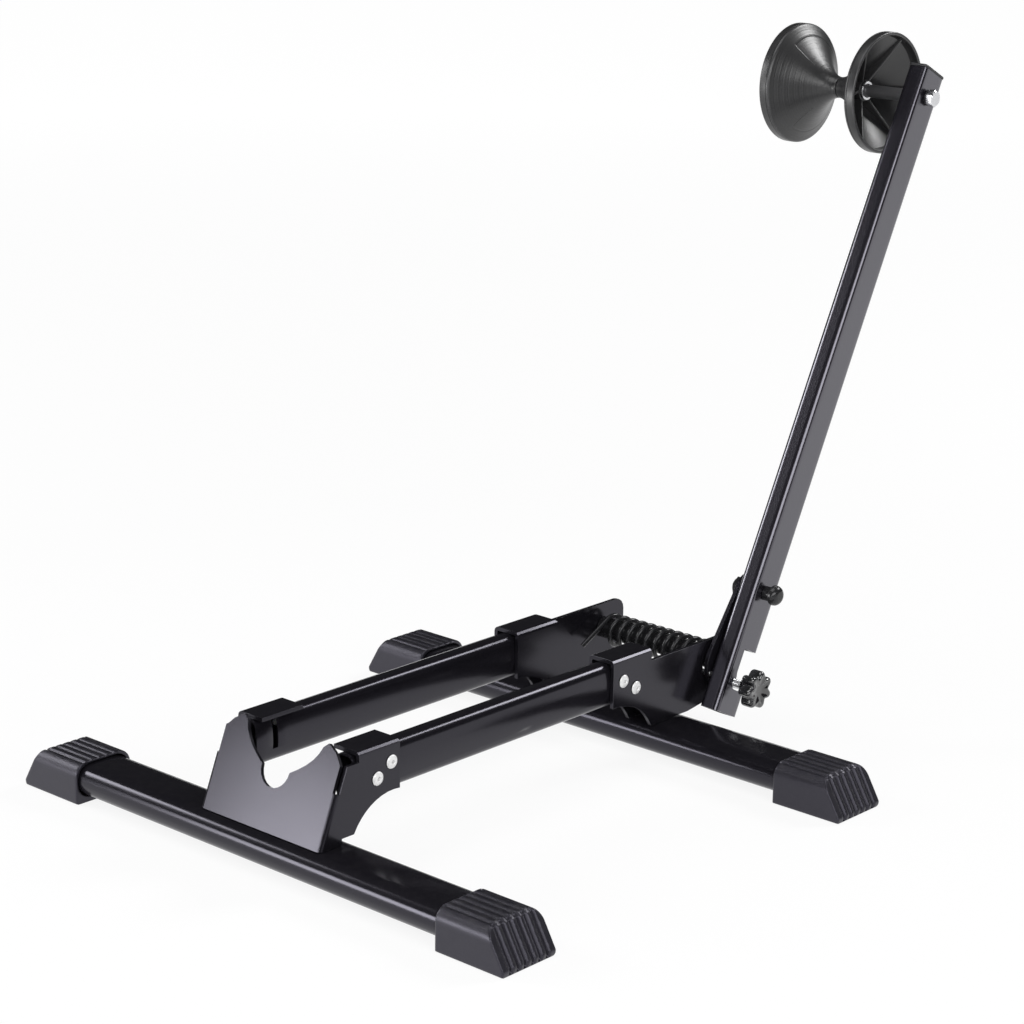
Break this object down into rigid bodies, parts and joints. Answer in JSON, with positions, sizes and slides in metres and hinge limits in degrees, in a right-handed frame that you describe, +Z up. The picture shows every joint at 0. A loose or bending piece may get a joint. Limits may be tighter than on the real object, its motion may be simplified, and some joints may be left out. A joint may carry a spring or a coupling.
{
  "type": "bicycle floor parking stand",
  "caption": "Low two-bar floor stand with rails for one bicycle wheel, and a sprung folding arm whose cone rollers hold the tyre.",
  "frame": {"origin": "on the floor, under the middle of the stand's bounding box", "axes": "+X to the stand's right, where the arm is; +Y to the rear; +Z up"},
  "size_m": [0.4, 0.5856, 0.4415],
  "materials": {
    "powder_coat": "satin black powder coat",
    "cap_rubber": "matt black",
    "black_plastic": "moulded black plastic",
    "zinc": "bright zinc plate",
    "black_steel": "blackened steel",
    "rivet_alloy": "bright domed rivet"
  },
  "bodies": {
    "base": {"front_crossbar": "powder_coat", "rear_crossbar": "powder_coat", "rail_left": "powder_coat", "rail_right": "powder_coat", "front_bracket": "powder_coat", "rear_bracket_left": "powder_coat", "rear_bracket_right": "powder_coat", "foot_cap_front_left": "cap_rubber", "foot_cap_front_right": "cap_rubber", "foot_cap_rear_left": "cap_rubber", "foot_cap_rear_right": "cap_rubber", "rivet_front_left_1": "rivet_alloy", "rivet_front_left_2": "rivet_alloy", "rivet_front_right_1": "rivet_alloy", "rivet_front_right_2": "rivet_alloy", "rivet_rear_left_1": "rivet_alloy", "rivet_rear_left_2": "rivet_alloy", "rivet_rear_right_1": "rivet_alloy", "rivet_rear_right_2": "rivet_alloy", "spring_sleeve": "black_steel", "torsion_spring": "black_steel"},
    "lever": {"arm_lever": "powder_coat", "pivot_axle": "zinc", "pivot_washer_left": "zinc", "pivot_washer_right": "zinc", "pivot_nut": "zinc", "stop_pin": "zinc", "fold_bolt": "black_steel", "fold_washer": "black_steel", "fold_nut": "black_steel"},
    "arm": {"upright_tube": "powder_coat", "tube_plug": "black_plastic", "knob_boss": "powder_coat", "roller_sleeve": "black_steel", "roller_bolt": "zinc", "roller_nut": "zinc", "roller_washer_left": "zinc", "roller_washer_right": "zinc", "head_washer": "black_steel"},
    "knob": {"star_knob": "black_plastic", "knob_screw": "zinc"},
    "roller_left": {"roller_left": "black_plastic"},
    "roller_right": {"roller_right": "black_plastic"}
  },
  "joints": [
    {"name": "arm_pivot", "type": "hinge", "parent": "base", "child": "lever", "pos_m": [0, 0.07601, 0.0515], "axis": [-1, 0, 0], "range_deg": [0, 20], "stiffness_Nm_per_rad": 0.76, "springref_deg": -89.95, "deforming": ["torsion_spring"]},
    {"name": "arm_fold", "type": "hinge", "parent": "lever", "child": "arm", "pos_m": [0, 0.09855, 0.09613], "axis": [1, 0, 0], "range_deg": [0, 108]},
    {"name": "knob_turn", "type": "hinge", "parent": "arm", "child": "knob", "pos_m": [0.0794, 0.07082, 0.04124], "axis": [1, 0, 0], "range_deg": [0, 1080]},
    {"name": "roller_left_spin", "type": "hinge", "parent": "arm", "child": "roller_left", "pos_m": [-0.02, 0.25279, 0.40148], "axis": [1, 0, 0], "continuous": true},
    {"name": "roller_right_spin", "type": "hinge", "parent": "arm", "child": "roller_right", "pos_m": [0.02, 0.25279, 0.40148], "axis": [1, 0, 0], "continuous": true}
  ]
}
